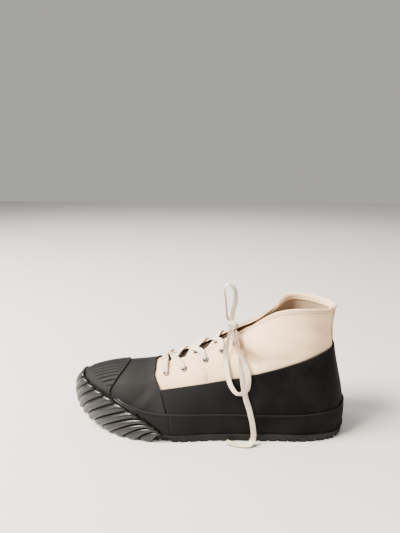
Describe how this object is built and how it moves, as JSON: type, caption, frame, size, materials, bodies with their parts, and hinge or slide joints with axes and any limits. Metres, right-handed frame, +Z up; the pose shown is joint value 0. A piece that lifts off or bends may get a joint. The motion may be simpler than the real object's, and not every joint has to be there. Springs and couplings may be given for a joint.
{
  "type": "high-top sneaker",
  "caption": "Left canvas high-top sneaker with a dark rubber sole, vamp and ribbed toe bumper, metal eyelets and flat cotton laces tied in a bow.",
  "frame": {"origin": "on the floor, at the middle of the tread lug under the waist of the shoe, named by the mount floor_middle; about 2 mm behind the middle of the length", "axes": "+X from toe to heel, +Y from the outer side to the inner side, +Z up"},
  "size_m": [0.2938, 0.1084, 0.1542],
  "materials": {
    "rubber": "black vulcanised rubber, satin",
    "canvas": "undyed cotton canvas",
    "insole": "cloth over sponge",
    "tongue": "brown cotton canvas",
    "lace": "flat woven cotton",
    "eyelet": "nickel plated, dulled"
  },
  "bodies": {
    "root": {"outsole": "rubber", "midsole": "rubber", "insole": "insole", "upper": "canvas", "heel_strip": "canvas", "tongue": "tongue", "side_rubber": "rubber", "vamp_rubber": "rubber", "foxing_band": "rubber", "toe_bumper": "rubber", "toe_cap": "rubber", "eyelet_lateral_1": "eyelet", "eyelet_lateral_2": "eyelet", "eyelet_lateral_3": "eyelet", "eyelet_lateral_4": "eyelet", "eyelet_lateral_5": "eyelet", "eyelet_medial_1": "eyelet", "eyelet_medial_2": "eyelet", "eyelet_medial_3": "eyelet", "eyelet_medial_4": "eyelet", "eyelet_medial_5": "eyelet", "lace_crossings": "lace", "lace_knot": "lace", "lace_loop_up": "lace", "lace_loop_down": "lace", "lace_end": "lace"}
  },
  "joints": []
}
